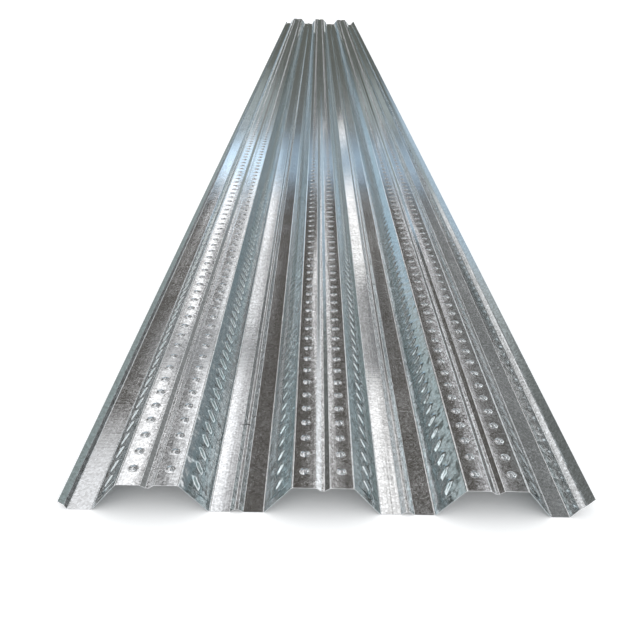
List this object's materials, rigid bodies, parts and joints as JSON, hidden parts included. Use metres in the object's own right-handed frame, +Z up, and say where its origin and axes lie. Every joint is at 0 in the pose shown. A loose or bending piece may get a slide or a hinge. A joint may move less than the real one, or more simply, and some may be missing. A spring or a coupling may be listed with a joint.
{
  "type": "corrugated steel deck sheet",
  "caption": "Long galvanised steel floor deck sheet, roll formed into trapezoidal ribs with grooved crests, beaded troughs, pressed embossments and lapping side edges.",
  "frame": {"origin": "under the middle of the sheet, on the plane that its troughs rest on", "axes": "+Y along the length, +X across the ribs towards the edge with the taller lip, +Z up through the depth"},
  "size_m": [0.9296, 9, 0.06],
  "materials": {
    "galvanised_steel": "hot dip galvanised, satin to bright, with a fine spangle and rolling marks"
  },
  "bodies": {
    "root": {"deck_sheet": "galvanised_steel"}
  },
  "joints": []
}
